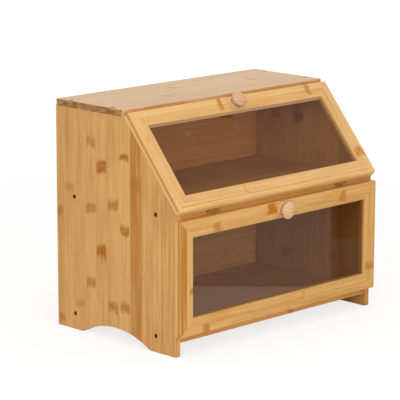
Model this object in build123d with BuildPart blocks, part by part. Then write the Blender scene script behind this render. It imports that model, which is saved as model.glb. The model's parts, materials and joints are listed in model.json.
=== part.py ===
from build123d import *

import os
from math import asin, cos, radians, sin, tan

# Two-storey bread box of bamboo boards. Two mitred frame doors with clear panes close the front. The
# upper one lies on a slope and the lower one stands upright, and both swing forward about butt hinges
# at their lower edge. Millimetres, +Z up, doors towards -Y. The origin is on the table, in the middle
# of the overall box.

# ---- boards of the cabinet
board = 9.0
body_width = 390.0
body_height = 320.0
side_depth = 235.0
top_width = 392.0
top_depth = 135.0
top_back_inset = 1.5
top_corner = 2.5
bottom_panel_top = 27.3
shelf_top = 192.5
front_recess = 1.0
arris = 0.8

# ---- outline of the side panels
slope_angle = radians(50.0)
vertex_z = 195.1
arch_half_span = 67.0
arch_height = 18.0
arch_forward = 1.0
arch_toe_radius = 15.0

# ---- back panel, held in grooves of the side panels, with slots that let the bread breathe
back_thickness = 6.0
back_inset = 10.5
back_groove = 3.0
back_play = 0.1
vent_xs = (42.0, 140.0)
vent_pair_pitch = 5.0
vent_width = 2.0
vent_height = 8.0
vent_z = 243.0

# ---- doors
door_width = 390.0
door_height = 157.0
door_thickness = 9.5
frame_width = 24.0
inner_lip_radius = 1.5
upper_door_arris = 2.0
lower_door_arris = 1.2
upper_door_corner = 5.5
upper_door_overhang = 4.8
lower_door_bottom = 27.8
pane_thickness = 2.0
pane_front = 4.6
pane_groove = 4.0
pane_play = 0.1
pane_edge_play = 0.5

# ---- knobs
knob_from_top = 12.0
knob_length = 17.5
knob_crown_radius = 10.9
knob_crown_height = 12.8
knob_bore_depth = 12.0
knob_screw_radius = 1.6
knob_screw_head_radius = 3.4
knob_screw_head = 1.6
knob_screw_sunk = 0.3

# ---- butt hinges: the pin lies a little behind and below the lower back edge of its door
hinge_x = 127.5
hinge_length = 22.0
hinge_below = 0.8
leaf = 1.0
leaf_reach = 16.0
leaf_start = 2.3
knuckle_radius = 2.0
knuckle_gap = 0.3
pin_radius = 0.9
pin_bore_fixed = 0.92
pin_bore_running = 0.95
pin_head_radius = 1.4
pin_head = 0.6
notch_side_play = 1.2
notch_play = 0.4
leaf_screw_spread = 15.0
leaf_screw_at = 12.0
leaf_screw_radius = 0.9
leaf_screw_head_radius = 1.8
leaf_screw_head = 0.9
leaf_screw_length = 6.5

# ---- screws of the boards, their heads sunk in the wood
board_screw_radius = 1.7
board_screw_head_radius = 2.5
board_screw_head = 2.0
board_screw_sunk = 1.4
board_screw_length = 34.0
board_screw_ys = (-66.8, 94.4)
top_screw_ys = (20.0, 103.8)
screw_play = 0.05
socket_radius = 1.3
socket_depth = 1.3

# ---- magnetic catches under the top panel and under the shelf
catch_x = -10.0
catch_width = 18.0
catch_depth = 16.0
upper_catch_drop = 21.0
lower_catch_drop = 16.0
catch_stand_off = 4.0
magnet_width = 12.0
magnet_height = 8.0
magnet_thickness = 5.0
magnet_gap = 0.5
catch_screw_radius = 1.4
catch_screw_head_radius = 2.6
catch_screw_head = 1.5
catch_screw_grip = 7.0
catch_screw_bite = 6.0
strike_x = -12.0
strike_width = 13.0
strike_height = 14.0
strike = 1.0
strike_screw_length = 6.0

# ---- positions worked out from the sizes above
overall_depth = side_depth + door_thickness + knob_length
y_back = overall_depth / 2
y_front = y_back - side_depth
x_outer = body_width / 2
x_inner = x_outer - board
top_underside = body_height - board
bottom_panel_underside = bottom_panel_top - board
shelf_underside = shelf_top - board
y_board_front = y_front + front_recess
y_back_panel_outer = y_back - back_inset
y_back_panel_inner = y_back_panel_outer - back_thickness
y_top_back = y_back - top_back_inset
y_top_front = y_top_back - top_depth
slope_top_y = y_front + (top_underside - vertex_z) / tan(slope_angle)
knob_height = door_height - knob_from_top
knuckle = hinge_length / 3
leaf_screw_offsets = (-leaf_screw_spread / 2, leaf_screw_spread / 2)

# A door's own plane: origin in the middle of its lower back edge, x to the right, y up the door and z
# out of its face.
door_planes = {
    "upper": Plane(
        origin=(
            0,
            y_front - upper_door_overhang * cos(slope_angle),
            vertex_z - upper_door_overhang * sin(slope_angle),
        ),
        x_dir=(1, 0, 0),
        z_dir=(0, -sin(slope_angle), cos(slope_angle)),
    ),
    "lower": Plane(origin=(0, y_front, lower_door_bottom), x_dir=(1, 0, 0), z_dir=(0, -1, 0)),
}
door_angles = {"upper": slope_angle, "lower": radians(90.0)}
door_arrises = {"upper": upper_door_arris, "lower": lower_door_arris}
door_corners = {"upper": upper_door_corner, "lower": 0.0}


def pin_point(door):
    """The middle of a door's hinge axis."""
    return door_planes[door].from_local_coords((0, -hinge_below, -leaf / 2))


def cabinet_leaf_plane(door):
    """The plane of the cabinet's leaves of a door: origin on the pin, y into the box, z up."""
    return Plane(origin=pin_point(door), x_dir=(1, 0, 0), z_dir=(0, 0, 1))


def door_leaf_plane(door):
    """The plane of the door's leaves: origin on the pin, y up the door, z out of its face."""
    plane = door_planes[door]
    return Plane(origin=pin_point(door), x_dir=plane.x_dir, z_dir=plane.z_dir)


def shifted(plane, x, y, z=0.0):
    """The same plane with its origin moved to a point given in the plane's own coordinates."""
    return Plane(origin=plane.from_local_coords((x, y, z)), x_dir=plane.x_dir, z_dir=plane.z_dir)


def turned(plane, outline):
    """A turned solid about the plane's z through its origin. outline holds radii and heights."""
    half_plane = Plane(origin=plane.origin, x_dir=plane.x_dir, z_dir=plane.x_dir.cross(plane.z_dir))
    with BuildSketch(half_plane, mode=Mode.PRIVATE) as half:
        with BuildLine():
            Polyline(*outline, close=True)
        make_face()
    return revolve(half.sketch, axis=Axis(plane.origin, plane.z_dir), mode=Mode.PRIVATE)


def keep(piece, name):
    """Labels a finished piece and writes it as a node of its own."""
    piece.part.label = name
    export_step(piece.part, f"parts/{name}.step")


os.makedirs("parts", exist_ok=True)


# ---------------------------------------------------------------- side panels


def side_panel(name, side):
    """A board with a vertical and a sloping front edge and an arched foot. side is -1 or 1."""
    y_arch = (y_front + y_back) / 2 - arch_forward
    board_screw_places = [(y, z - board / 2) for y in board_screw_ys for z in (bottom_panel_top, shelf_top)]
    with BuildPart() as panel:
        with BuildSketch(Plane.YZ.offset(min(side * x_inner, side * x_outer))):
            with BuildLine():
                Polyline(
                    (y_arch - arch_half_span, 0),
                    (y_front, 0),
                    (y_front, vertex_z),
                    (slope_top_y, top_underside),
                    (y_back, top_underside),
                    (y_back, 0),
                    (y_arch + arch_half_span, 0),
                )
                ThreePointArc(
                    (y_arch - arch_half_span, 0),
                    (y_arch, arch_height),
                    (y_arch + arch_half_span, 0),
                )
            make_face()
        extrude(amount=board)
        toes = panel.edges().filter_by(Axis.X).filter_by_position(Axis.Z, -0.1, 0.1)
        fillet(toes.filter_by_position(Axis.Y, y_front + 1, y_back - 1), arch_toe_radius)
        outer = panel.faces().sort_by(Axis.X)[0 if side < 0 else -1]
        fillet(outer.edges().filter_by_position(Axis.Z, 0, top_underside - 1), arris)
        # groove for the back panel, open at the top
        with BuildSketch(Plane.XY.offset(bottom_panel_underside)):
            with Locations((side * (x_inner + back_groove / 2), y_back_panel_outer - back_thickness / 2)):
                Rectangle(back_groove, back_thickness + 2 * back_play)
        extrude(amount=body_height, mode=Mode.SUBTRACT)
        # holes for the screws into the shelf and the bottom panel
        with BuildSketch(Plane.YZ.offset(side * x_outer)):
            with Locations(*board_screw_places):
                Circle(board_screw_head_radius + screw_play)
        extrude(amount=-side * (board_screw_sunk + board_screw_head), mode=Mode.SUBTRACT)
        with BuildSketch(Plane.YZ.offset(side * x_outer)):
            with Locations(*board_screw_places):
                Circle(board_screw_radius + screw_play)
        extrude(amount=-side * board, mode=Mode.SUBTRACT)
        # pilot holes for the screws through the top panel
        with BuildSketch(Plane.XY.offset(top_underside)):
            with Locations(*[(side * (x_outer - board / 2), y) for y in top_screw_ys]):
                Circle(board_screw_radius + screw_play)
        extrude(amount=-(board_screw_length - board + 1), mode=Mode.SUBTRACT)
    keep(panel, name)


side_panel("side_panel_left", -1)
side_panel("side_panel_right", 1)


# ---------------------------------------------------------------- top, shelf, bottom and back

top_screw_places = [(x, y) for x in (board / 2 - x_outer, x_outer - board / 2) for y in top_screw_ys]


def catch_front_y(door, height, stand_off=catch_stand_off):
    """How far back a catch's front is at a height, so that it stays parallel with its door."""
    foot = door_planes[door].origin
    angle = door_angles[door]
    return foot.Y + (height - foot.Z) / tan(angle) + stand_off / sin(angle)


def catch_screw_y(door, underside):
    """Where the screw of a catch goes up into the board above it."""
    return catch_front_y(door, underside) + catch_depth - 2 * catch_screw_head_radius


with BuildPart() as top_panel:
    with BuildSketch(Plane.XY.offset(top_underside)):
        with Locations((0, (y_top_front + y_top_back) / 2)):
            RectangleRounded(top_width, top_depth, top_corner)
    extrude(amount=board)
    fillet(top_panel.faces().sort_by(Axis.Z)[-1].edges(), arris)
    with BuildSketch(Plane.XY.offset(body_height)):
        with Locations(*top_screw_places):
            Circle(board_screw_head_radius + screw_play)
    extrude(amount=-(board_screw_sunk + board_screw_head), mode=Mode.SUBTRACT)
    with BuildSketch(Plane.XY.offset(body_height)):
        with Locations(*top_screw_places):
            Circle(board_screw_radius + screw_play)
    extrude(amount=-board, mode=Mode.SUBTRACT)
    with BuildSketch(Plane.XY.offset(top_underside)):
        with Locations((catch_x, catch_screw_y("upper", top_underside))):
            Circle(catch_screw_radius + screw_play)
    extrude(amount=catch_screw_bite + 1, mode=Mode.SUBTRACT)
keep(top_panel, "top_panel")


def level_board(name, door, top, holds_catch):
    """A level board between the side panels. The hinge leaves of a door are let into its front."""
    leaves = cabinet_leaf_plane(door)
    with BuildPart() as level:
        with BuildSketch(Plane.XY.offset(top)):
            with Locations((0, (y_board_front + y_back_panel_inner) / 2)):
                Rectangle(2 * x_inner, y_back_panel_inner - y_board_front)
        extrude(amount=-board)
        fillet(level.edges().filter_by(Axis.X).group_by(Axis.Y)[0], arris)
        # seats of the hinge leaves, open to the front and to the top, and room for the knuckles
        for x in (-hinge_x, hinge_x):
            with BuildSketch(shifted(leaves, x, 0, -leaf / 2)):
                Rectangle(hinge_length + 2 * back_play, 2 * (leaf_reach + back_play))
            extrude(amount=board, mode=Mode.SUBTRACT)
            with BuildSketch(shifted(leaves, x, 0, -knuckle_radius - notch_play)):
                Rectangle(hinge_length + 2 * notch_side_play, 2 * (knuckle_radius + notch_play))
            extrude(amount=board, mode=Mode.SUBTRACT)
            with BuildSketch(shifted(leaves, x, leaf_screw_at)):
                with Locations(*[(offset, 0) for offset in leaf_screw_offsets]):
                    Circle(leaf_screw_radius + screw_play)
            extrude(amount=-leaf_screw_length, mode=Mode.SUBTRACT)
        # pilot holes for the side screws
        for side in (-1, 1):
            with BuildSketch(Plane.YZ.offset(side * x_inner)):
                with Locations(*[(y, top - board / 2) for y in board_screw_ys]):
                    Circle(board_screw_radius + screw_play)
            extrude(amount=-side * (board_screw_length - board + 1), mode=Mode.SUBTRACT)
        if holds_catch:
            with BuildSketch(Plane.XY.offset(top - board)):
                with Locations((catch_x, catch_screw_y("lower", top - board))):
                    Circle(catch_screw_radius + screw_play)
            extrude(amount=catch_screw_bite + 1, mode=Mode.SUBTRACT)
    keep(level, name)


level_board("bottom_panel", "lower", bottom_panel_top, holds_catch=False)
level_board("middle_shelf", "upper", shelf_top, holds_catch=True)

with BuildPart() as back_panel:
    with BuildSketch(Plane.XZ.offset(-y_back_panel_outer)):
        with Locations((0, (bottom_panel_underside + top_underside) / 2)):
            Rectangle(2 * (x_inner + back_groove - 2 * back_play), top_underside - bottom_panel_underside)
        with Locations(*[(side * x, vent_z) for side in (-1, 1) for x in vent_xs]):
            with GridLocations(vent_pair_pitch, 1, 2, 1):
                SlotOverall(vent_height, vent_width, rotation=90, mode=Mode.SUBTRACT)
    extrude(amount=back_thickness)
keep(back_panel, "back_panel")


# ---------------------------------------------------------------- screws of the boards


def board_screws(name, places):
    """Socket screws. places are planes on the boards' faces whose z points out of the wood."""
    with BuildPart() as screws:
        for place in places:
            top = place.offset(-board_screw_sunk)
            with BuildSketch(top):
                Circle(board_screw_head_radius)
            extrude(amount=-board_screw_head)
            with BuildSketch(top):
                Circle(board_screw_radius)
            extrude(amount=-(board_screw_length - board_screw_sunk))
            with BuildSketch(top):
                RegularPolygon(socket_radius, 6)
            extrude(amount=-socket_depth, mode=Mode.SUBTRACT)
    keep(screws, name)


for side, name in ((-1, "side_screws_left"), (1, "side_screws_right")):
    board_screws(
        name,
        [
            Plane(origin=(side * x_outer, y, z - board / 2), x_dir=(0, 1, 0), z_dir=(side, 0, 0))
            for y in board_screw_ys
            for z in (bottom_panel_top, shelf_top)
        ],
    )
board_screws("top_screws", [Plane(origin=(x, y, body_height)) for x, y in top_screw_places])


# ---------------------------------------------------------------- door frames

half_width = door_width / 2
window_half_width = half_width - frame_width
window_top = door_height - frame_width
bottom_corners = [(-half_width, 0), (half_width, 0)]
top_corners = [(-half_width, door_height), (half_width, door_height)]
window_bottom_corners = [(-window_half_width, frame_width), (window_half_width, frame_width)]
window_top_corners = [(-window_half_width, window_top), (window_half_width, window_top)]
member_outlines = {
    "bottom_rail": (*bottom_corners, window_bottom_corners[1], window_bottom_corners[0]),
    "top_rail": (*top_corners, window_top_corners[1], window_top_corners[0]),
    "left_stile": (bottom_corners[0], top_corners[0], window_top_corners[0], window_bottom_corners[0]),
    "right_stile": (bottom_corners[1], top_corners[1], window_top_corners[1], window_bottom_corners[1]),
}


def frame_member(door, kind):
    """One mitred member, cut out of the whole frame so that edges run on from member to member."""
    plane = door_planes[door]
    leaves = door_leaf_plane(door)
    outward = Axis(plane.origin, plane.z_dir)
    middle = (0, door_height / 2)
    with BuildPart() as member:
        with BuildSketch(plane):
            with Locations(middle):
                Rectangle(door_width, door_height)
                Rectangle(2 * window_half_width, window_top - frame_width, mode=Mode.SUBTRACT)
        extrude(amount=door_thickness)
        if door_corners[door]:
            fillet(member.edges().filter_by(outward).sort_by(Axis.Z)[:2], door_corners[door])
        fillet(member.faces().sort_by(outward)[-1].outer_wire().edges(), door_arrises[door])
        fillet(member.faces().sort_by(outward)[-1].inner_wires()[0].edges(), inner_lip_radius)
        # groove for the pane
        with BuildSketch(plane.offset(door_thickness - pane_front - pane_thickness - pane_play)):
            with Locations(middle):
                Rectangle(
                    2 * (window_half_width + pane_groove),
                    window_top - frame_width + 2 * pane_groove,
                )
        extrude(amount=pane_thickness + 2 * pane_play, mode=Mode.SUBTRACT)
        # only this member of the frame
        with BuildSketch(plane):
            with BuildLine():
                Polyline(*member_outlines[kind], close=True)
            make_face()
        extrude(amount=door_thickness, mode=Mode.INTERSECT)
        if kind == "top_rail":
            with BuildSketch(shifted(plane, 0, knob_height)):
                Circle(knob_screw_head_radius + screw_play)
            extrude(amount=knob_screw_sunk + knob_screw_head, mode=Mode.SUBTRACT)
            with BuildSketch(shifted(plane, 0, knob_height)):
                Circle(knob_screw_radius + screw_play)
            extrude(amount=door_thickness, mode=Mode.SUBTRACT)
            with BuildSketch(shifted(plane, strike_x, knob_height)):
                Circle(leaf_screw_radius + screw_play)
            extrude(amount=strike_screw_length, mode=Mode.SUBTRACT)
        if kind == "bottom_rail":
            for x in (-hinge_x, hinge_x):
                with BuildSketch(shifted(plane, x, 0)):
                    Rectangle(hinge_length + 2 * notch_side_play, 2 * (knuckle_radius + notch_play))
                extrude(amount=knuckle_radius + notch_play - leaf / 2, mode=Mode.SUBTRACT)
                with BuildSketch(shifted(leaves, x, leaf_screw_at)):
                    with Locations(*[(offset, 0) for offset in leaf_screw_offsets]):
                        Circle(leaf_screw_radius + screw_play)
                extrude(amount=leaf_screw_length, mode=Mode.SUBTRACT)
    keep(member, f"{door}_{kind}")


def window_pane(door):
    """The clear pane, which sits in the groove all round."""
    with BuildPart() as pane:
        with BuildSketch(door_planes[door].offset(door_thickness - pane_front - pane_thickness)):
            with Locations((0, door_height / 2)):
                Rectangle(
                    2 * (window_half_width + pane_groove - pane_edge_play),
                    window_top - frame_width + 2 * (pane_groove - pane_edge_play),
                )
        extrude(amount=pane_thickness)
    keep(pane, f"{door}_window_pane")


# ---------------------------------------------------------------- knobs and strike plates


def knob(door):
    """A turned wooden knob: a foot with two rings, a waist and a mushroom head."""
    foot = shifted(door_planes[door], 0, knob_height, door_thickness)
    dome = knob_length - knob_crown_height
    dome_radius = (knob_crown_radius**2 + dome**2) / (2 * dome)
    half_angle = asin(knob_crown_radius / dome_radius) / 2
    dome_middle = (dome_radius * sin(half_angle), knob_length - dome_radius * (1 - cos(half_angle)))
    half_plane = Plane(origin=foot.origin, x_dir=foot.x_dir, z_dir=foot.x_dir.cross(foot.z_dir))
    with BuildPart() as turning:
        with BuildSketch(half_plane):
            with BuildLine():
                Line((0, 0), (10.1, 0))
                ThreePointArc((10.1, 0), (10.6, 0.9), (10.0, 1.8))
                Line((10.0, 1.8), (9.2, 2.0))
                ThreePointArc((9.2, 2.0), (9.6, 2.8), (8.9, 3.6))
                ThreePointArc((8.9, 3.6), (6.3, 4.5), (5.6, 6.0))
                ThreePointArc((5.6, 6.0), (7.0, 8.0), (10.3, 8.9))
                ThreePointArc((10.3, 8.9), (11.9, 10.7), (knob_crown_radius, knob_crown_height))
                ThreePointArc((knob_crown_radius, knob_crown_height), dome_middle, (0, knob_length))
                Line((0, knob_length), (0, 0))
            make_face()
        revolve(axis=Axis(foot.origin, foot.z_dir))
        with BuildSketch(foot):
            Circle(knob_screw_radius)
        extrude(amount=knob_bore_depth, mode=Mode.SUBTRACT)
    keep(turning, f"{door}_knob")


def knob_screw(door):
    """The screw that holds the knob, its head sunk in the back of the rail."""
    end = door_thickness + knob_bore_depth - 1
    neck = knob_screw_sunk + knob_screw_head
    outline = (
        (0, knob_screw_sunk),
        (knob_screw_head_radius, knob_screw_sunk),
        (knob_screw_head_radius, neck),
        (knob_screw_radius - screw_play, neck),
        (knob_screw_radius - screw_play, end),
        (0, end),
    )
    with BuildPart() as screw:
        add(turned(shifted(door_planes[door], 0, knob_height), outline))
    keep(screw, f"{door}_knob_screw")


def flat_screw(length, play=0.0):
    """The outline of a countersunk screw, from its flush head down."""
    return (
        (0, 0),
        (leaf_screw_head_radius + play, 0),
        (leaf_screw_radius + play, -leaf_screw_head),
        (leaf_screw_radius + play, -length),
        (0, -length),
    )


def strike_plate(door):
    """The steel plate on the back of the top rail, which the magnet pulls."""
    plane = shifted(door_planes[door], strike_x, knob_height)
    head_plane = Plane(origin=plane.offset(-strike).origin, x_dir=plane.x_dir, z_dir=-plane.z_dir)
    with BuildPart() as plate:
        with BuildSketch(plane):
            RectangleRounded(strike_width, strike_height, 1.5)
        extrude(amount=-strike)
        add(turned(head_plane, flat_screw(strike_screw_length, screw_play)), mode=Mode.SUBTRACT)
    keep(plate, f"{door}_strike_plate")
    with BuildPart() as screw:
        add(turned(head_plane, flat_screw(strike_screw_length)))
    keep(screw, f"{door}_strike_screw")


# ---------------------------------------------------------------- butt hinges


def leaf_head_plane(plane, x, head_side):
    """Where the head of a leaf's screw lies flush, its z pointing out of the leaf."""
    place = shifted(plane, x, leaf_screw_at, head_side * leaf / 2)
    return Plane(origin=place.origin, x_dir=place.x_dir, z_dir=plane.z_dir * head_side)


def hinge_leaf(name, plane, x_middle, numbers, bore, head_side):
    """A leaf with its knuckles. plane has its origin on the pin, x along it and y the way that the leaf
    points. numbers are the knuckles of this leaf, out of 0, 1 and 2. head_side is 1 where the screw
    heads are on the plane's +z side, or else -1."""
    with BuildPart() as hinge:
        with BuildSketch(shifted(plane, x_middle, 0, -leaf / 2)):
            with Locations((0, (leaf_start + leaf_reach) / 2)):
                Rectangle(hinge_length, leaf_reach - leaf_start)
            for number in numbers:
                with Locations(((number - 1) * knuckle, (leaf_start + 0.5) / 2)):
                    Rectangle(knuckle - knuckle_gap, leaf_start + 0.5)
        extrude(amount=leaf)
        for number in numbers:
            start = x_middle + (number - 1.5) * knuckle + knuckle_gap / 2
            roll = Plane(origin=plane.from_local_coords((start, 0, 0)), z_dir=plane.x_dir)
            with BuildSketch(roll):
                Circle(knuckle_radius)
            extrude(amount=knuckle - knuckle_gap)
        middle = Plane(origin=plane.from_local_coords((x_middle, 0, 0)), z_dir=plane.x_dir)
        with BuildSketch(middle):
            Circle(bore)
        extrude(amount=hinge_length, both=True, mode=Mode.SUBTRACT)
        for offset in leaf_screw_offsets:
            head = leaf_head_plane(plane, x_middle + offset, head_side)
            add(turned(head, flat_screw(leaf_screw_length, screw_play)), mode=Mode.SUBTRACT)
    keep(hinge, name)


def leaf_screws(name, heads):
    """The countersunk screws of several leaves."""
    with BuildPart() as screws:
        for head in heads:
            add(turned(head, flat_screw(leaf_screw_length)))
    keep(screws, name)


def pins():
    """The four hinge pins, each with a small head at both ends."""
    half = hinge_length / 2
    outline = (
        (0, -half - pin_head),
        (pin_head_radius, -half - pin_head),
        (pin_head_radius, -half),
        (pin_radius, -half),
        (pin_radius, half),
        (pin_head_radius, half),
        (pin_head_radius, half + pin_head),
        (0, half + pin_head),
    )
    with BuildPart() as pin_set:
        for door in door_planes:
            for x in (-hinge_x, hinge_x):
                place = shifted(cabinet_leaf_plane(door), x, 0)
                add(turned(Plane(origin=place.origin, z_dir=(1, 0, 0)), outline))
    keep(pin_set, "hinge_pins")


# ---------------------------------------------------------------- magnetic catches


def catch(door, underside, drop):
    """A catch body under a board and its magnet, which stands out towards the strike plate."""
    front = shifted(door_planes[door], catch_x, knob_height, -strike - magnet_gap)
    back_y = catch_front_y(door, underside) + catch_depth
    bottom = underside - drop
    screw_place = (catch_x, catch_screw_y(door, underside))
    with BuildPart() as body:
        with BuildSketch(Plane.YZ.offset(catch_x)):
            with BuildLine():
                Polyline(
                    (catch_front_y(door, underside), underside),
                    (catch_front_y(door, bottom), bottom),
                    (back_y, bottom),
                    (back_y, underside),
                    close=True,
                )
            make_face()
        extrude(amount=catch_width / 2, both=True)
        fillet(body.edges().filter_by(Axis.X).group_by(Axis.Z)[0], 1.0)
        with BuildSketch(front):
            Rectangle(magnet_width + 2 * screw_play, magnet_height + 2 * screw_play)
        extrude(amount=-(magnet_thickness + screw_play), mode=Mode.SUBTRACT)
        with BuildSketch(Plane.XY.offset(bottom)):
            with Locations(screw_place):
                Circle(catch_screw_head_radius + screw_play)
        extrude(amount=drop - catch_screw_grip, mode=Mode.SUBTRACT)
        with BuildSketch(Plane.XY.offset(bottom)):
            with Locations(screw_place):
                Circle(catch_screw_radius + screw_play)
        extrude(amount=drop, mode=Mode.SUBTRACT)
    keep(body, f"{door}_catch_body")
    with BuildPart() as magnet:
        with BuildSketch(front):
            Rectangle(magnet_width, magnet_height)
        extrude(amount=-magnet_thickness)
    keep(magnet, f"{door}_catch_magnet")


catches = {"upper": (top_underside, upper_catch_drop), "lower": (shelf_underside, lower_catch_drop)}
for door, (underside, drop) in catches.items():
    catch(door, underside, drop)

with BuildPart() as catch_screws:
    for door, (underside, drop) in catches.items():
        seat = Plane(origin=(catch_x, catch_screw_y(door, underside), underside - catch_screw_grip))
        outline = (
            (0, -catch_screw_head),
            (catch_screw_head_radius, -catch_screw_head),
            (catch_screw_head_radius, 0),
            (catch_screw_radius, 0),
            (catch_screw_radius, catch_screw_grip + catch_screw_bite),
            (0, catch_screw_grip + catch_screw_bite),
        )
        add(turned(seat, outline))
keep(catch_screws, "catch_screws")


# ---------------------------------------------------------------- the two doors and their hinges

cabinet_heads = []
for door in door_planes:
    for kind in member_outlines:
        frame_member(door, kind)
    window_pane(door)
    knob(door)
    knob_screw(door)
    strike_plate(door)
    door_heads = []
    for side, x in (("left", -hinge_x), ("right", hinge_x)):
        fixed = cabinet_leaf_plane(door)
        moving = door_leaf_plane(door)
        hinge_leaf(f"{door}_cabinet_hinge_leaf_{side}", fixed, x, (0, 2), pin_bore_fixed, 1)
        hinge_leaf(f"{door}_door_hinge_leaf_{side}", moving, x, (1,), pin_bore_running, -1)
        cabinet_heads += [leaf_head_plane(fixed, x + offset, 1) for offset in leaf_screw_offsets]
        door_heads += [leaf_head_plane(moving, x + offset, -1) for offset in leaf_screw_offsets]
    leaf_screws(f"{door}_door_hinge_screws", door_heads)
leaf_screws("cabinet_hinge_screws", cabinet_heads)
pins()
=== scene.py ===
"""Two-storey bamboo bread box with two framed flap doors. Metres, +Z up, doors towards -Y."""

import json
import math

import bpy
from mathutils import Matrix, Vector


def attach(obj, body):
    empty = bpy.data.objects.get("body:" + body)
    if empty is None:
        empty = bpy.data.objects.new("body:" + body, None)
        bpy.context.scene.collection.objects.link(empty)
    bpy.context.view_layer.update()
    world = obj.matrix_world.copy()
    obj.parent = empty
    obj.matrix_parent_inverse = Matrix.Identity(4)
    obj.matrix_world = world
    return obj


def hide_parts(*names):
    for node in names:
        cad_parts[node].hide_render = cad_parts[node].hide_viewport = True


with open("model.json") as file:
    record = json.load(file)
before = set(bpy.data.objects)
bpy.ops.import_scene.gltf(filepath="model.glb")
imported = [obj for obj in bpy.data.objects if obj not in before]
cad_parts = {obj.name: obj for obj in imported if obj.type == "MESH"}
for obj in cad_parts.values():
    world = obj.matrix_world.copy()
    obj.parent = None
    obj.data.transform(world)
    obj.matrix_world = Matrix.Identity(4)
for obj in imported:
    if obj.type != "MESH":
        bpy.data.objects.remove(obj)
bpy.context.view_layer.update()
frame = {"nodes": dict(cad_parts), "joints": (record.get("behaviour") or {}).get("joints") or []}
nodes = frame["nodes"]
joints = {joint["name"]: joint for joint in frame["joints"]}

MM = 0.001

# The doors have the same size. The upper one lies on the slope and the lower one is upright.
SLOPE = math.radians(50)
UPRIGHT = math.radians(90)
PIN_BEHIND = 0.5 * MM
PIN_BELOW = 0.8 * MM
DOOR_THICKNESS = 9.5 * MM
DOOR_HEIGHT = 157 * MM
DOOR_HALF_WIDTH = 195 * MM
KNOB_FROM_TOP = 12 * MM
WINDOW_HALF_WIDTH = 171 * MM
WINDOW_TOP = 133 * MM


class Door:
    """Where a door stands: its foot is in the middle of its lower back edge, and tilt turns the level
    x, y, z of the box into across, up the door and out of its face."""

    def __init__(self, name, tilt):
        self.name = name
        self.tilt = tilt
        self.up = Vector((0, math.cos(tilt), math.sin(tilt)))
        self.out = Vector((0, -math.sin(tilt), math.cos(tilt)))
        pin = Vector(joints[f"{name}_door_hinge"]["pos_m"])
        self.foot = pin + self.up * PIN_BELOW + self.out * PIN_BEHIND

    def at(self, across, up, out):
        """The place of a point that is given in the door's own directions."""
        return self.foot + Vector((across, 0, 0)) + self.up * up + self.out * out


DOORS = {"upper": Door("upper", SLOPE), "lower": Door("lower", UPRIGHT)}
FRONT = DOORS["lower"].foot.y


# ---------------------------------------------------------------- colours and shader maths


def tone(red, green, blue):
    """A colour given as it looks on a screen, 0 to 255, as a shader wants it."""
    screen = (channel / 255 for channel in (red, green, blue))
    return (*((c / 12.92 if c <= 0.04045 else ((c + 0.055) / 1.055) ** 2.4) for c in screen), 1.0)


def scaled(colour, red, green, blue):
    """A colour with its channels made stronger or weaker."""
    return (colour[0] * red, colour[1] * green, colour[2] * blue, 1)


class Amount:
    """A number that varies over a surface. Python maths on it adds Math nodes."""

    def __init__(self, wiring, socket):
        self.wiring = wiring
        self.socket = socket

    def maths(self, operation, *terms):
        node = self.wiring.node("ShaderNodeMath", {"operation": operation}, dict(enumerate(terms)))
        return Amount(self.wiring, node.outputs[0])

    def __add__(self, other):
        return self.maths("ADD", self, other)

    def __radd__(self, other):
        return self.maths("ADD", other, self)

    def __sub__(self, other):
        return self.maths("SUBTRACT", self, other)

    def __rsub__(self, other):
        return self.maths("SUBTRACT", other, self)

    def __mul__(self, other):
        return self.maths("MULTIPLY", self, other)

    def __rmul__(self, other):
        return self.maths("MULTIPLY", other, self)

    def __truediv__(self, other):
        return self.maths("DIVIDE", self, other)

    def __rtruediv__(self, other):
        return self.maths("DIVIDE", other, self)

    def __abs__(self):
        return self.maths("ABSOLUTE", self)

    def whole(self):
        return self.maths("FLOOR", self)

    def part(self):
        return self.maths("FRACT", self)

    def root(self):
        return self.maths("SQRT", self)

    def or_more(self, other):
        return self.maths("MAXIMUM", self, other)

    def rise(self, low, high):
        """0 below low, 1 above high, and smooth between them."""
        node = self.wiring.node(
            "ShaderNodeMapRange",
            {"interpolation_type": "SMOOTHSTEP"},
            {"Value": self, "From Min": low, "From Max": high},
        )
        return Amount(self.wiring, node.outputs["Result"])

    def fall(self, low, high):
        """1 below low, 0 above high, and smooth between them."""
        return 1 - self.rise(low, high)


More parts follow.
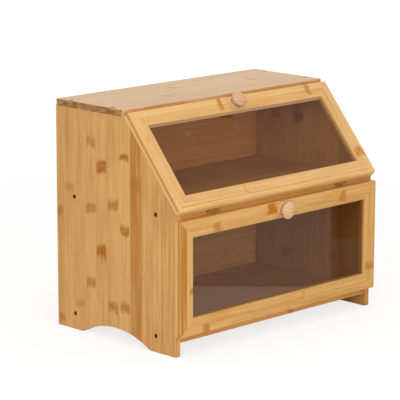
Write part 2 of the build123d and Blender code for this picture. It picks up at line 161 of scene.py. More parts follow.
class Wiring:
    """The nodes of a material or of the world."""

    def __init__(self, tree):
        self.tree = tree

    def join(self, value, slot):
        """Links a socket or an Amount to a slot, or writes a plain value on it."""
        value = value.socket if isinstance(value, Amount) else value
        if isinstance(value, bpy.types.NodeSocket):
            self.tree.links.new(value, slot)
        else:
            slot.default_value = value

    def node(self, kind, settings=None, sockets=None):
        """Adds a node. Its settings are set first, then its sockets by name or number."""
        node = self.tree.nodes.new(kind)
        for key, value in (settings or {}).items():
            setattr(node, key, value)
        for key, value in (sockets or {}).items():
            self.join(value, node.inputs[key])
        return node

    def first(self, kind):
        return next(node for node in self.tree.nodes if node.type == kind)

    def ray(self, *kinds):
        """1 where a surface is seen by one of these kinds of ray, such as Camera or Glossy."""
        outputs = self.node("ShaderNodeLightPath").outputs
        seen, *others = [Amount(self, outputs[f"Is {kind} Ray"]) for kind in kinds]
        for other in others:
            seen = seen.or_more(other)
        return seen

    def place(self, door=None):
        """Object coordinates as three Amounts, in a door's own directions if a door is given."""
        vector = self.node("ShaderNodeTexCoord").outputs["Object"]
        if door:
            turn = {"Vector": vector, "Location": tuple(door.foot), "Rotation": (door.tilt, 0, 0)}
            mapping = self.node("ShaderNodeMapping", {"vector_type": "TEXTURE"}, turn)
            vector = mapping.outputs["Vector"]
        split = self.node("ShaderNodeSeparateXYZ", sockets={"Vector": vector})
        return [Amount(self, output) for output in split.outputs]

    def noise(self, x, y, z, detail, roughness):
        """Noise about 0.5, at coordinates that are already scaled."""
        vector = self.node("ShaderNodeCombineXYZ", sockets={"X": x, "Y": y, "Z": z}).outputs[0]
        sockets = {"Vector": vector, "Scale": 1.0, "Detail": detail, "Roughness": roughness}
        return Amount(self, self.node("ShaderNodeTexNoise", sockets=sockets).outputs["Fac"])

    def chance(self, number, seed):
        """A random number for each whole number."""
        dice = {"noise_dimensions": "1D"}
        node = self.node("ShaderNodeTexWhiteNoise", dice, {"W": number + seed})
        return Amount(self, node.outputs["Value"])

    def blend(self, share, first, second):
        """first where share is 0 and second where it is 1. Both are colours or their sockets."""
        sockets = {0: share, 6: first, 7: second}
        return self.node("ShaderNodeMix", {"data_type": "RGBA"}, sockets).outputs[2]


class Finish(Wiring):
    """A material with one Principled shader. even holds what is the same all over the surface."""

    def __init__(self, name, **even):
        self.material = bpy.data.materials.new(name)
        self.material.use_nodes = True
        super().__init__(self.material.node_tree)
        self.shader = self.first("BSDF_PRINCIPLED")
        self.feed(**even)

    def feed(self, **amounts):
        """Sets or links the shader's sockets, named with _ for each space."""
        for socket, value in amounts.items():
            self.join(value, self.shader.inputs[socket.replace("_", " ")])

    def bump(self, height, strength, distance):
        sockets = {"Strength": strength, "Distance": distance, "Height": height}
        self.feed(Normal=self.node("ShaderNodeBump", sockets=sockets).outputs["Normal"])


def dress(piece, finish):
    """Gives a piece one material all over."""
    piece.data.materials.clear()
    piece.data.materials.append(finish.material)


# ---------------------------------------------------------------- bamboo

# All lengths in this part are in millimetres.


class Bamboo:
    """The colours of a board: its strips from light to dark, and its growth nodes."""

    def __init__(self, light, dark, node):
        self.light = light
        self.dark = dark
        self.node = node


SIDE_BAMBOO = Bamboo(tone(228, 178, 106), tone(196, 136, 64), tone(178, 104, 0))
RIGHT_BAMBOO = Bamboo(tone(208, 154, 82), tone(180, 120, 52), tone(124, 66, 8))
TOP_BAMBOO = Bamboo(tone(223, 188, 143), tone(203, 161, 115), tone(184, 124, 66))
INNER_BAMBOO = Bamboo(tone(218, 158, 78), tone(188, 126, 54), tone(134, 76, 28))
BACK_BAMBOO = Bamboo(tone(250, 190, 100), tone(222, 158, 72), tone(156, 92, 36))
DOOR_BAMBOO = {
    "upper": Bamboo(tone(229, 184, 119), tone(205, 151, 82), tone(190, 116, 4)),
    "lower": Bamboo(tone(225, 175, 102), tone(199, 142, 67), tone(187, 108, 0)),
}
SAWN_END_TONE = tone(140, 88, 44)
# Painted shade in the screw holes
SCREW_HOLE_SHADE_TONE = tone(98, 52, 6)
# Painted light on the walls of the vent slots, for the light that shines through them from behind
VENT_LIGHT_TONE = tone(255, 222, 165)

# The strips of a board: where one of them starts, and how wide they are
SIDE_STRIPS = (19.8, 22.35)
RIGHT_STRIPS = (11.3, 22.35)
TOP_STRIPS = (19.8, 21)
DOOR_STRIPS = (0.3, 12.2)

# Each random choice adds its own number to the seed of the board
SHIFT_SEED = 11.7
TONE_SEED = 0.37
HUE_SEED = 8.1
NODE_SEED = 5.3
END_SEED = 2.9

NODE_SPACING = 250
# How far from a screw's centre the painted shade in its hole is full, and where it is gone
SCREW_HOLE_SHADE_EDGE = (2.8, 3.5)
TOP_HALF_LENGTH = 196
TOP_FRONT_EDGE = 98.8
END_BLOCK = (9.5, 4.6)
LAYERS_MEET = 4.7

# The vent slots: each half of the back has two pairs, VENT_APART to either side of VENT_MIDDLE, and
# the two slots of a pair are VENT_PAIR from each other.
VENT_MIDDLE = 91
VENT_APART = 49
VENT_PAIR = 5
VENT_HEIGHT = 243
VENT_HALF_WIDTH = 1
VENT_HALF_HEIGHT = 4


class Board(Finish):
    """Bamboo laid up from strips. axes says which of x, y and z runs along the grain, across the
    strips and through the board. With from_front, y counts from the front of the box. For bands see
    add_bands, and for marks, rings and stray see add_growth_nodes. Painted shade in the screw holes
    and along the sawn front edge, the sawn ends and painted light in the vent slots are put on a
    board after that, and done comes last."""

    def __init__(
        self,
        name,
        wood,
        axes,
        strips=SIDE_STRIPS,
        seed=0.0,
        door=None,
        from_front=False,
        bands=(),
        marks=(),
        rings=(),
        stray=1.0,
    ):
        super().__init__(name, IOR=1.45, Specular_IOR_Level=0.42)
        self.wood = wood
        self.seed = seed
        self.axis = {letter: amount / MM for letter, amount in zip("xyz", self.place(door))}
        if from_front:
            self.axis["y"] = self.axis["y"] - FRONT / MM
        self.along, self.across, self.through = (self.axis[letter] for letter in axes)
        start, width = strips
        self.strip_place = (self.across - start) / width
        self.strip = self.strip_place.whole()
        self.shift = self.by_strip(SHIFT_SEED)
        self.depth = self.through * 1.3 + self.shift * 40 + seed
        self.deep = scaled(wood.dark, 0.8, 0.66, 0.44)
        self.lay_strips()
        self.add_bands(bands)
        self.add_growth_nodes(marks, rings, stray)
        self.add_glue_lines()

    def by_strip(self, seed):
        """A random number for each strip."""
        return self.chance(self.strip, self.seed + seed)

    def grain(self, across, along, detail, roughness, jump=0):
        """Noise that is so fine across and along the grain, and starts anew on each strip."""
        lengthwise = self.along * along
        if jump:
            lengthwise = lengthwise + self.shift * jump
        return self.noise(self.across * across, lengthwise, self.depth * across, detail, roughness)

    def paint(self, share, colour):
        """Covers a share of the colour that the board has so far."""
        self.colour = self.blend(share, self.colour, colour)

    def lay_strips(self):
        """The strips, each with its own tone and hue, under clouds, streaks, fibres and vessels."""
        self.cloud = self.grain(0.05, 0.013, 2.0, 0.5)
        self.broad = self.grain(0.16, 0.004, 2.0, 0.6, jump=9)
        self.streak = self.grain(0.42, 0.012, 3.0, 0.62)
        self.fibre = self.grain(1.1, 0.03, 3.0, 0.65)
        self.vessel = self.grain(2.2, 0.12, 2.0, 0.5)
        warm = scaled(self.wood.dark, 1.02, 0.83, 0.52)
        pale = scaled(self.wood.light, 1.1, 1.12, 1.16)
        rosy = scaled(self.wood.light, 0.94, 0.84, 0.84)
        own_tone = self.by_strip(TONE_SEED) * 0.5
        shade = own_tone + (self.broad - 0.5) * 1.9 + (self.cloud - 0.5) * 1.3
        self.colour = self.blend(shade, self.wood.light, self.wood.dark)
        self.paint(self.by_strip(HUE_SEED) * 0.4, rosy)
        self.paint(self.streak.rise(0.52, 0.74) * 0.55, warm)
        self.paint(self.streak.fall(0.3, 0.46) * 0.55, pale)
        self.paint(self.fibre.rise(0.54, 0.72) * 0.26, self.deep)
        self.paint(self.fibre.fall(0.3, 0.46) * 0.24, pale)
        self.paint(self.vessel.rise(0.6, 0.72) * 0.22, self.deep)

    def add_bands(self, bands):
        """Darker lengthwise bands: (across, width, depth of colour)."""
        honey = scaled(self.wood.dark, 0.88, 0.72, 0.26)
        for middle, width, depth in bands:
            from_middle = abs(self.across - middle + (self.broad - 0.5) * 3)
            inside = from_middle.fall(width * 0.4, width * 0.55)
            self.paint(inside * (0.5 + self.streak.rise(0.35, 0.6) * 0.5) * depth, honey)

    def add_growth_nodes(self, marks, rings, stray):
        """Growth nodes. marks are those that are listed: (along, across, length, width, depth of
        colour). stray is the depth of the others, which come now and then on a strip. rings are the
        outlines of small knots: (along, across, half length, half width)."""
        fleck = self.grain(0.75, 0.1, 3.0, 0.6).rise(0.4, 0.6)
        blot = self.grain(0.11, 0.3, 2.0, 0.5).rise(0.32, 0.66)
        slant = self.grain(0.07, 0.02, 1.0, 0.5)
        wander = (slant - 0.5) * 17 + (self.streak - 0.5) * 9 + (self.fibre - 0.5) * 6
        wandering = self.along + wander

        spaced = (wandering / NODE_SPACING + self.shift * 7).part()
        from_node = abs((spaced - 0.5) * NODE_SPACING)
        on_strip = self.by_strip(NODE_SEED).rise(0.45, 0.6) * stray
        self.growth = from_node.fall(2.5, 8) * on_strip * (0.1 + blot * 0.4 + fleck * 0.2)

        for place_along, place_across, length, width, depth in marks:
            lengthwise = abs((wandering - place_along) / length)
            inside = abs(self.across - place_across).fall(width * 0.4, width * 0.54)
            heart = lengthwise.fall(0.14, 0.7) * (0.64 + blot * 0.36)
            rim = abs(lengthwise - 0.33).fall(0.04, 0.22) * (0.4 + fleck * 0.25)
            self.growth = self.growth.or_more(inside * depth * (heart * 1.02 + rim * 0.2))

        for place_along, place_across, half_length, half_width in rings:
            lengthwise = (self.along - place_along) / half_length
            sideways = (self.across - place_across) / half_width
            from_centre = (lengthwise * lengthwise + sideways * sideways).root()
            outline = abs(from_centre - 1).fall(0.08, 0.3) * lengthwise.fall(-0.1, 0.8)
            self.growth = self.growth.or_more(outline * 0.7)

        self.paint(self.growth, self.wood.node)

    def add_glue_lines(self):
        """Thin dark lines between the strips."""
        self.glue = abs(self.strip_place.part() - 0.5).rise(0.484, 0.498)
        self.paint(self.glue * 0.3, self.deep)

    def shade_screw_holes(self, holes):
        """Painted shade in the holes round sunk screws, a dark disc round each: (along, across)."""
        for place_along, place_across in holes:
            lengthwise = self.along - place_along
            sideways = self.across - place_across
            from_centre = (lengthwise * lengthwise + sideways * sideways).root()
            self.paint(from_centre.fall(*SCREW_HOLE_SHADE_EDGE) * 0.9, SCREW_HOLE_SHADE_TONE)

    def shade_front_edge(self, edge):
        """The front edge of the board, sawn along its grain, with painted shade that is deeper in some
        places.
        """
        share = self.across.fall(edge - 0.3, edge + 0.3) * (0.3 + self.cloud.rise(0.4, 0.56) * 0.5)
        # Painted shade along the front edge
        self.paint(share, scaled(self.wood.dark, 0.96, 0.74, 0.42))

    def saw_ends(self, half_length):
        """The sawn ends of the strips, as blocks of two layers with pores."""
        pores = self.noise(self.across * 1.3, self.through * 1.3, 0.0, 2.0, 0.6)
        block_width, block_height = END_BLOCK
        block = (self.across / block_width).whole() + (self.through / block_height).whole() * 17
        shade = self.chance(block, self.seed + END_SEED) * 0.75 + (pores - 0.5) * 0.8
        sawn = self.blend(shade, SAWN_END_TONE, scaled(self.wood.dark, 1.0, 0.9, 0.66))
        self.paint(abs(self.along).rise(half_length - 0.5, half_length - 0.2), sawn)

    def show_layers_and_shade(self):
        """The outer faces of a door's frame, which show its two layers: pale behind and dark in front,
        where the dark is partly the wood's own tone and partly painted shade.
        """
        outer = DOOR_HALF_WIDTH / MM
        out = self.axis["z"]
        behind = scaled(self.wood.light, 1.05, 1.08, 1.1)
        # The darker front layer is partly painted shade
        layers = self.blend(out.rise(LAYERS_MEET - 0.2, LAYERS_MEET + 0.1), behind, self.wood.dark)
        layers = self.blend(abs(out - LAYERS_MEET).fall(0.1, 0.5) * 0.7, layers, self.deep)
        layers = self.blend(self.fibre.rise(0.5, 0.7) * 0.4, layers, self.deep)
        self.paint(abs(self.axis["x"]).rise(outer - 0.4, outer - 0.2), layers)

    def paint_vent_light(self):
        """The walls of the vent slots, painted pale as painted light, for the light that comes through
        them from behind.
        """
        from_pair = abs(abs(abs(self.along) - VENT_MIDDLE) - VENT_APART)
        from_slot = abs(from_pair - VENT_PAIR / 2)
        wide = from_slot.fall(VENT_HALF_WIDTH + 0.05, VENT_HALF_WIDTH + 0.2)
        high = abs(self.across - VENT_HEIGHT).fall(VENT_HALF_HEIGHT + 0.05, VENT_HALF_HEIGHT + 0.2)
        self.paint(wide * high, VENT_LIGHT_TONE)

    def done(self):
        """Gives the shader its colour, gloss and relief."""
        self.feed(
            Base_Color=self.colour,
            Roughness=0.36 + self.fibre * 0.22 + self.growth * 0.08,
        )
        self.bump(self.vessel * 0.35 - self.fibre * 0.7 - self.glue * 0.8, 0.22, 0.25 * MM)
        return self


# The left side: growth nodes and screws by height and distance behind the front edge
SIDE_MARKS = (
    (268, 164, 15, 19, 0.62),
    (236, 143, 18, 21, 1.1),
    (257, 98, 10, 19, 0.95),
    (201, 209, 13, 20, 0.4),
    (176, 165, 15, 21, 0.7),
    (187, 120, 17, 22, 0.7),
    (164, 229, 17, 13, 0.7),
    (156, 97.5, 16, 19, 0.9),
    (119, 144, 18, 21, 1.05),
    (75, 165, 17, 20, 0.75),
    (46, 121, 15, 21, 0.75),
    (51, 97, 14, 20, 0.8),
    (40, 187, 14, 20, 0.4),
    (222, 75, 20, 20, 0.5),
    (14, 226, 12, 14, 0.6),
)
SIDE_BANDS = ((75.5, 21, 0.85), (226, 9, 0.3), (11, 6, 0.2))
SIDE_HOLES = tuple((height, behind) for behind in (37.2, 198.4) for height in (22.8, 188))

RIGHT_MARKS = ((263, 134.3, 17, 19, 0.8), (260, 179, 13, 19, 0.5), (53.5, 156.6, 14, 19, 0.6))
RIGHT_BANDS = ((44.8, 20, 0.5),)
TOP_MARKS = ((-20, 188, 16, 20, 0.4), (-70, 143, 14, 20, 0.35), (120, 167, 15, 20, 0.35))
TOP_HOLES = tuple((across, behind) for behind in (124, 207.8) for across in (-190.5, 190.5))
BACK_BANDS = ((255, 140, 0.5),)


def dress_cabinet():
    left = Board(
        "bamboo_side_left",
        SIDE_BAMBOO,
        "zyx",
        from_front=True,
        bands=SIDE_BANDS,
        marks=SIDE_MARKS,
        stray=0.0,
    )
    left.shade_screw_holes(SIDE_HOLES)
    right = Board(
        "bamboo_side_right",
        RIGHT_BAMBOO,
        "zyx",
        strips=RIGHT_STRIPS,
        seed=40.0,
        from_front=True,
        bands=RIGHT_BANDS,
        marks=RIGHT_MARKS,
        stray=0.4,
    )
    right.shade_screw_holes(SIDE_HOLES)
    top = Board(
        "bamboo_top",
        TOP_BAMBOO,
        "xyz",
        strips=TOP_STRIPS,
        seed=3.0,
        from_front=True,
        marks=TOP_MARKS,
        stray=0.4,
    )
    top.shade_screw_holes(TOP_HOLES)
    # Painted shade along the top panel's front edge
    top.shade_front_edge(TOP_FRONT_EDGE)
    top.saw_ends(TOP_HALF_LENGTH)
    back = Board("bamboo_back", BACK_BAMBOO, "xzy", seed=9.0, bands=BACK_BANDS, stray=0.5)
    # Painted light on the walls of the vent slots
    back.paint_vent_light()
    boards = {
        "side_panel_left": left,
        "side_panel_right": right,
        "top_panel": top,
        "back_panel": back,
        "middle_shelf": Board("bamboo_shelf", INNER_BAMBOO, "xyz", seed=14.0),
        "bottom_panel": Board("bamboo_bottom", INNER_BAMBOO, "xyz", seed=21.0),
    }
    for name, board in boards.items():
        dress(nodes[name], board.done())


# The doors: across the box and up the door. Rails have their grain across, and stiles up.
DOOR_MARKS = {
    "upper_top_rail": ((-27, 147, 9, 20, 0.95), (150, 147, 9, 18, 0.95)),
    "upper_bottom_rail": (),
    "upper_left_stile": ((112, -185, 9, 12, 0.3),),
    "upper_right_stile": ((37, 184, 14, 20, 0.9),),
    "lower_top_rail": ((-125, 139, 15, 18, 0.7), (-20, 149, 18, 15, 1.15), (124, 145, 12, 16, 0.75)),
    "lower_bottom_rail": ((-148, 6, 14, 12, 0.8), (40, 16, 9, 12, 0.3)),
    "lower_left_stile": ((60, -174, 12, 8, 0.8), (112, -189, 14, 10, 0.5)),
    "lower_right_stile": ((34, 184, 12, 20, 0.7),),
}
# The lower left stile's darker outer band is partly the strip's own tone and partly painted shade
# where the moulded face turns from the light
DOOR_BANDS = {
    "lower_left_stile": ((-188.5, 12, 1.0),),
    "upper_bottom_rail": ((8, 1.8, 0.7), (2, 4, 0.3)),
    "lower_bottom_rail": ((12, 2, 0.4),),
}
DOOR_RINGS = {"upper_bottom_rail": ((-62, 15, 3.2, 5.2),)}


def dress_doors():
    for count, name in enumerate(DOOR_MARKS):
        door = DOORS[name.split("_")[0]]
        rail = name.endswith("rail")
        board = Board(
            f"bamboo_{name}",
            DOOR_BAMBOO[door.name],
            "xyz" if rail else "yxz",
            strips=DOOR_STRIPS,
            seed=50.0 + 7 * count,
            door=door,
            bands=DOOR_BANDS.get(name, ()),
            marks=DOOR_MARKS[name],
            rings=DOOR_RINGS.get(name, ()),
            stray=0.0,
        )
        if not rail:
            board.show_layers_and_shade()
        dress(nodes[name], board.done())


# ---------------------------------------------------------------- panes, metal and plastic

# How each door's pane looks: the share that it covers of what is behind it, its refraction, the tint
# of its gloss, and how much the painted highlight along its edge shows
PANE_LOOKS = {
    "upper": (0.17, 1.7, (1, 0.94, 0.9, 1), 0.9),
    "lower": (0.22, 2.8, (1, 0.82, 0.7, 1), 0.15),
}
PANE_TONE = tone(46, 30, 24)
PANE_TOP_HIGHLIGHT_TONE = tone(226, 190, 152)
PANE_RIGHT_HIGHLIGHT_TONE = tone(222, 178, 138)
PANE_HIGHLIGHT_COVER = 0.8

# How far inside the window the painted highlight along the pane's edge starts, and where it is full
PANE_TOP_HIGHLIGHT = (1.9 * MM, 1.2 * MM)
PANE_RIGHT_HIGHLIGHT = (2.6 * MM, 2.0 * MM)


def clear_acrylic(door):
    """Clear sheet that shows what is behind it and reflects the room. A painted highlight, pale along
    the window's top and right side, stands in for light caught on the pane's edge."""
    cover, refraction, tint, highlight_shows = PANE_LOOKS[door.name]
    finish = Finish(f"clear_acrylic_{door.name}", IOR=refraction, Specular_Tint=tint)
    across, up, out = finish.place(door)
    top_highlight = up.rise(*(WINDOW_TOP - inside for inside in PANE_TOP_HIGHLIGHT))
    right_highlight = across.rise(*(WINDOW_HALF_WIDTH - inside for inside in PANE_RIGHT_HIGHLIGHT))
    # edge is the painted highlight along the pane's top and right side
    edge = top_highlight.or_more(right_highlight * 0.6) * highlight_shows
    highlight_colour = finish.blend(right_highlight * 0.8, PANE_TOP_HIGHLIGHT_TONE, PANE_RIGHT_HIGHLIGHT_TONE)
    smear = finish.noise(across * 9, up * 9, out * 9, 2.0, 0.5)
    finish.feed(
        Base_Color=finish.blend(edge, PANE_TONE, highlight_colour),
        Alpha=cover + edge * (PANE_HIGHLIGHT_COVER - cover),
        Roughness=0.02 + smear * 0.03,
    )
    return finish


def plated_steel(name, colour, roughness):
    """Rolled and plated sheet, with faint rolling lines and dull spots."""
    finish = Finish(name, Metallic=1.0)
    x, y, z = finish.place()
    lines = finish.noise(x * 250, y * 4000, z * 4000, 3.0, 0.6)
    spots = finish.noise(x * 700, y * 700, z * 700, 3.0, 0.6)
    dull = scaled(colour, 0.72, 0.72, 0.72)
    finish.feed(
        Base_Color=finish.blend(spots.rise(0.4, 0.75), colour, dull),
        Roughness=roughness + lines * 0.2,
    )
    finish.bump(lines, 0.15, 0.05 * MM)
    return finish


def grainy(name, light, dark, fineness, **even):
    """A moulded or pressed surface with a fine grain."""
    finish = Finish(name, **even)
    x, y, z = finish.place()
    grain = finish.noise(x * fineness, y * fineness, z * fineness, 3.0, 0.7)
    finish.feed(Base_Color=finish.blend(grain, light, dark), Roughness=0.42 + grain * 0.2)
    finish.bump(grain, 0.3, 0.05 * MM)
    return finish


def dress_fittings():
    """The panes by their door, and the other fittings by a word in their name."""
    hinge_steel = plated_steel("hinge_steel", tone(188, 143, 84), 0.6)
    fittings = {
        "leaf": hinge_steel,
        "hinge_pins": hinge_steel,
        "screw": plated_steel("screw_steel", tone(132, 80, 24), 0.6),
        "strike_plate": plated_steel("strike_steel", tone(176, 172, 166), 0.3),
        "catch_body": grainy("moulded_plastic", tone(176, 100, 12), tone(152, 82, 6), 2600),
        "magnet": grainy("sintered_magnet", tone(70, 70, 72), tone(42, 42, 44), 1800, Metallic=0.6),
    }
    for name, piece in nodes.items():
        if name.endswith("window_pane"):
            dress(piece, clear_acrylic(DOORS[name.split("_")[0]]))
        for word, finish in fittings.items():
            if word in name:
                dress(piece, finish)


# ---------------------------------------------------------------- knobs

# Radius and height above the door's face, in millimetres, from the foot to the crown
KNOB_TURNS = (
    (10.1, 0.0), (10.5, 0.35), (10.6, 0.9), (10.45, 1.4), (10.0, 1.75), (9.45, 1.9), (9.25, 2.0),
    (9.45, 2.15), (9.6, 2.5), (9.6, 2.9), (9.35, 3.3), (8.9, 3.6), (8.4, 3.72), (8.2, 3.8),
    (7.4, 4.0), (6.5, 4.4), (5.9, 5.0), (5.6, 5.7), (5.6, 6.3), (5.9, 7.1), (6.7, 7.9), (8.0, 8.5),
    (9.4, 8.8), (10.5, 9.0), (11.3, 9.5), (11.75, 10.1), (11.9, 10.8), (11.75, 11.5), (11.4, 12.2),
    (10.8, 12.9), (9.9, 13.75), (8.6, 14.7), (7.0, 15.6), (5.2, 16.35), (3.4, 16.9), (1.7, 17.3),
)
KNOB_HEIGHT = 17.5
KNOB_SIDES = 72
KNOB_SMOOTH_ANGLE = math.radians(40)

KNOB_LIGHT = tone(231, 184, 138)
KNOB_DARK = tone(202, 142, 92)
KNOB_FLECK = tone(184, 126, 78)
# The pale colour of the foot rings is a painted highlight
KNOB_FOOT_HIGHLIGHT = tone(246, 206, 156)
# The dark colour in the grooves is painted shade
KNOB_GROOVE_SHADE = tone(128, 80, 42)
# The upper knob is painted darker than the lower, as painted shade
KNOB_SHADE_FACTOR = {"upper": 0.86, "lower": 1.0}
GROOVES = (1.95 * MM, 3.75 * MM)
GROOVE_EDGE = (0.1 * MM, 0.32 * MM)
# Where the painted highlight on the foot is full, and where it ends
FOOT_HIGHLIGHT_ENDS = (3.5 * MM, 6 * MM)
GROWTH_RINGS_UP = 210
GROWTH_RINGS_OUT = 110


def turn_knob(door):
    """A knob drawn up ring by ring from its foot, then stood on the door."""
    bpy.ops.object.select_all(action="DESELECT")
    foot_radius = KNOB_TURNS[0][0] * MM
    bpy.ops.mesh.primitive_circle_add(vertices=KNOB_SIDES, radius=foot_radius, fill_type="NGON")
    knob = bpy.context.object
    bpy.ops.object.mode_set(mode="EDIT")
    bpy.ops.mesh.select_all(action="SELECT")
    for (radius, height), (next_radius, next_height) in zip(KNOB_TURNS, KNOB_TURNS[1:]):
        lift = (0, 0, (next_height - height) * MM)
        bpy.ops.mesh.extrude_region_move(TRANSFORM_OT_translate={"value": lift})
        share = next_radius / radius
        centre = (0, 0, next_height * MM)
        bpy.ops.transform.resize(value=(share, share, 1), center_override=centre)
    lift = (0, 0, (KNOB_HEIGHT - KNOB_TURNS[-1][1]) * MM)
    bpy.ops.mesh.extrude_region_move(TRANSFORM_OT_translate={"value": lift})
    bpy.ops.mesh.merge(type="CENTER")
    bpy.ops.mesh.select_all(action="SELECT")
    bpy.ops.mesh.normals_make_consistent(inside=False)
    bpy.ops.object.mode_set(mode="OBJECT")
    stand = Matrix(((1, 0, 0), door.up, door.out)).transposed().to_4x4()
    foot = door.at(0, DOOR_HEIGHT - KNOB_FROM_TOP, DOOR_THICKNESS)
    knob.data.transform(Matrix.Translation(foot) @ stand)
    bpy.ops.object.select_all(action="DESELECT")
    knob.select_set(True)
    bpy.context.view_layer.objects.active = knob
    bpy.ops.object.shade_smooth_by_angle(angle=KNOB_SMOOTH_ANGLE)
    knob.name = f"{door.name}_turned_knob"
    return knob


def knob_wood(door):
    """Pale close-grained wood, turned, with fine flecks and tool rings, a painted highlight on its
    foot rings and painted shade in its two grooves.
    """
    finish = Finish(f"knob_wood_{door.name}", IOR=1.45, Coat_Weight=0.12, Coat_Roughness=0.3)
    across, up, out = finish.place(door)
    up = up - (DOOR_HEIGHT - KNOB_FROM_TOP)
    out = out - DOOR_THICKNESS
    wander = finish.noise(across * 60, up * 60, out * 20, 2.0, 0.5)
    rings = (up * GROWTH_RINGS_UP + wander * 3.4 + out * GROWTH_RINGS_OUT).part()
    growth = abs(rings - 0.5).rise(0.05, 0.5)
    fleck = finish.noise(across * 2600, up * 700, out * 700, 3.0, 0.6)
    tool = finish.noise(0.0, 0.0, out * 5200, 2.0, 0.5)
    first_groove, second_groove = (abs(out - groove).fall(*GROOVE_EDGE) for groove in GROOVES)
    # Painted shade: the upper knob's colours are darkened
    shade_factor = KNOB_SHADE_FACTOR[door.name]
    light, dark = (
        scaled(colour, shade_factor, shade_factor, shade_factor) for colour in (KNOB_LIGHT, KNOB_DARK)
    )
    colour = finish.blend(growth * 0.5, light, dark)
    colour = finish.blend(fleck.rise(0.52, 0.75) * 0.4, colour, KNOB_FLECK)
    # Painted highlight on the foot rings
    colour = finish.blend(out.fall(*FOOT_HIGHLIGHT_ENDS) * 0.7, colour, KNOB_FOOT_HIGHLIGHT)
    # Painted shade in the two grooves
    colour = finish.blend(first_groove.or_more(second_groove) * 0.8, colour, KNOB_GROOVE_SHADE)
    finish.feed(Base_Color=colour, Roughness=0.34 + fleck * 0.2)
    finish.bump(tool * 0.4 + fleck * 0.6, 0.18, 0.1 * MM)
    return finish


def fit_knobs():
    for door in DOORS.values():
        knob = turn_knob(door)
        dress(knob, knob_wood(door))
        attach(knob, f"{door.name}_door")
        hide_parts(f"{door.name}_knob")


# ---------------------------------------------------------------- camera, floor and light

# The camera, fitted to the corners of the box
CAMERA_AZIMUTH = math.radians(-44.81)
CAMERA_HEIGHT_ANGLE = math.radians(12.13)
CAMERA_ROLL = math.radians(0.11)
CAMERA_DISTANCE = 2.93391
CAMERA_AIM_BEHIND = 0.111
CAMERA_AIM_HEIGHT = 0.16
CAMERA_AIM_RIGHT = -0.02802
CAMERA_AIM_UP = 0.00712
CAMERA_SEES_TO = 50
FILM = 36.0
PICTURE_WIDTH = 400
FOCAL_LENGTH_IN_PIXELS = 2086.58


def stand_camera():
    """The camera of the photograph."""
    cos_height = math.cos(CAMERA_HEIGHT_ANGLE)
    back = Vector(
        (
            math.sin(CAMERA_AZIMUTH) * cos_height,
            -math.cos(CAMERA_AZIMUTH) * cos_height,
            math.sin(CAMERA_HEIGHT_ANGLE),
        )
    )
    level_right = (-back).cross(Vector((0, 0, 1))).normalized()
    level_up = level_right.cross(-back)
    right = level_right * math.cos(CAMERA_ROLL) + level_up * math.sin(CAMERA_ROLL)
    up = level_up * math.cos(CAMERA_ROLL) - level_right * math.sin(CAMERA_ROLL)
    aim = Vector((0, FRONT + CAMERA_AIM_BEHIND, CAMERA_AIM_HEIGHT))
    place = aim + right * CAMERA_AIM_RIGHT + up * CAMERA_AIM_UP + back * CAMERA_DISTANCE
    data = bpy.data.cameras.new("camera")
    data.sensor_width = FILM
    data.lens = FOCAL_LENGTH_IN_PIXELS / PICTURE_WIDTH * FILM
    data.clip_end = CAMERA_SEES_TO
    camera = bpy.data.objects.new("camera", data)
    turn = Matrix((right, up, back)).transposed().to_4x4()
    camera.matrix_world = Matrix.Translation(place) @ turn
    bpy.context.scene.collection.objects.link(camera)
    bpy.context.scene.camera = camera


# The floor lights the box as a pale matt surface. What is seen of it is grey that glows nearly white,
# a little more so far away.
FLOOR_SIZE = 24
FLOOR_PALE = (0.8, 0.8, 0.8, 1)
FLOOR_GREY = (0.28, 0.28, 0.28, 1)
BLACK = (0, 0, 0, 1)
FLOOR_GLOW = 0.77
FLOOR_GLOW_FAR = 0.21
FAR_AWAY = (0.6, 3.0)

# What the lower pane reflects of the floor: a slanting line parts it into left and right, and each
# part is brighter up to some distance from the doors, counted along a level direction.
LINE_FROM_X = 0.102
LINE_SLOPE = 1.128
LINE_SOFTNESS = 0.004
AWAY_RIGHT = 0.705
AWAY_FORWARD = 0.71
LEFT_BRIGHT_TO = (0.244, 0.25)
LEFT_BEYOND = 0.5
RIGHT_BRIGHT_TO = (0.555, 0.57)
RIGHT_BRIGHTNESS = 0.14


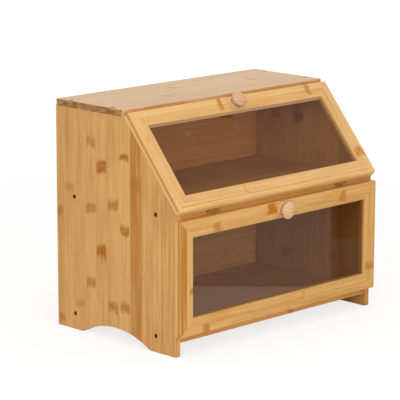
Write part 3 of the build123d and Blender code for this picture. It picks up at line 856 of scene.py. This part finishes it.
def lay_floor():
    """A pale plain floor that looks white and keeps the shadow of the box."""
    bpy.ops.object.select_all(action="DESELECT")
    bpy.ops.mesh.primitive_plane_add(size=FLOOR_SIZE)
    floor = bpy.context.object
    floor.name = "floor"
    finish = Finish("pale_floor", Base_Color=FLOOR_PALE, Roughness=0.9, Specular_IOR_Level=0.1)
    x, y, _ = finish.place()
    behind_front = y - FRONT
    far = (x * x + y * y).root().rise(*FAR_AWAY)
    right_of_line = (x - LINE_FROM_X) + behind_front * LINE_SLOPE
    right_share = right_of_line.rise(-LINE_SOFTNESS, LINE_SOFTNESS)
    away = x * AWAY_RIGHT - behind_front * AWAY_FORWARD
    left = LEFT_BEYOND + away.fall(*LEFT_BRIGHT_TO) * (1 - LEFT_BEYOND)
    right = away.fall(*RIGHT_BRIGHT_TO) * RIGHT_BRIGHTNESS
    reflected = left + (right - left) * right_share
    shown = 1 + (reflected - 1) * finish.ray("Glossy")
    glow = (FLOOR_GLOW + far * FLOOR_GLOW_FAR) * shown
    matt = finish.node(
        "ShaderNodeBsdfDiffuse", sockets={"Color": finish.blend(shown, BLACK, FLOOR_GREY)}
    )
    light = finish.node("ShaderNodeEmission", sockets={"Strength": glow})
    seen = finish.node("ShaderNodeAddShader", sockets={0: matt.outputs[0], 1: light.outputs[0]})
    is_seen = finish.ray("Camera", "Glossy", "Transmission")
    chosen = {0: is_seen, 1: finish.shader.outputs[0], 2: seen.outputs[0]}
    surface = finish.node("ShaderNodeMixShader", sockets=chosen)
    finish.join(surface.outputs[0], finish.first("OUTPUT_MATERIAL").inputs["Surface"])
    dress(floor, finish)


ROOM_LIGHT = 0.52

# Each lamp's name, place, what it points at, size and power
LAMPS = (
    ("key", (-2.3, -1.85, 1.35), (0, 0, 0.13), 1.6, 29),
    ("front", (-0.4, -2.8, 0.7), (0, 0, 0.15), 1.4, 14),
    ("overhead", (0.0, -0.2, 2.8), (0, 0, 0.2), 2.2, 18.5),
)


def light_room():
    """Even studio light: a bright room and broad soft lamps."""
    world = bpy.data.worlds.new("studio")
    bpy.context.scene.world = world
    world.use_nodes = True
    wiring = Wiring(world.node_tree)
    background = wiring.first("BACKGROUND")
    background.inputs["Color"].default_value = (1, 1, 1, 1)
    seen = wiring.ray("Camera", "Glossy", "Transmission")
    wiring.join(ROOM_LIGHT + seen * (1 - ROOM_LIGHT), background.inputs["Strength"])
    for name, place, aim, size, power in LAMPS:
        data = bpy.data.lights.new(name, "AREA")
        data.shape = "SQUARE"
        data.size = size
        data.energy = power
        lamp = bpy.data.objects.new(name, data)
        lamp.location = place
        lamp.rotation_euler = (Vector(aim) - Vector(place)).to_track_quat("-Z", "Y").to_euler()
        bpy.context.scene.collection.objects.link(lamp)


dress_cabinet()
dress_doors()
dress_fittings()
fit_knobs()
lay_floor()
light_room()
stand_camera()
bpy.context.scene.view_settings.view_transform = "Standard"
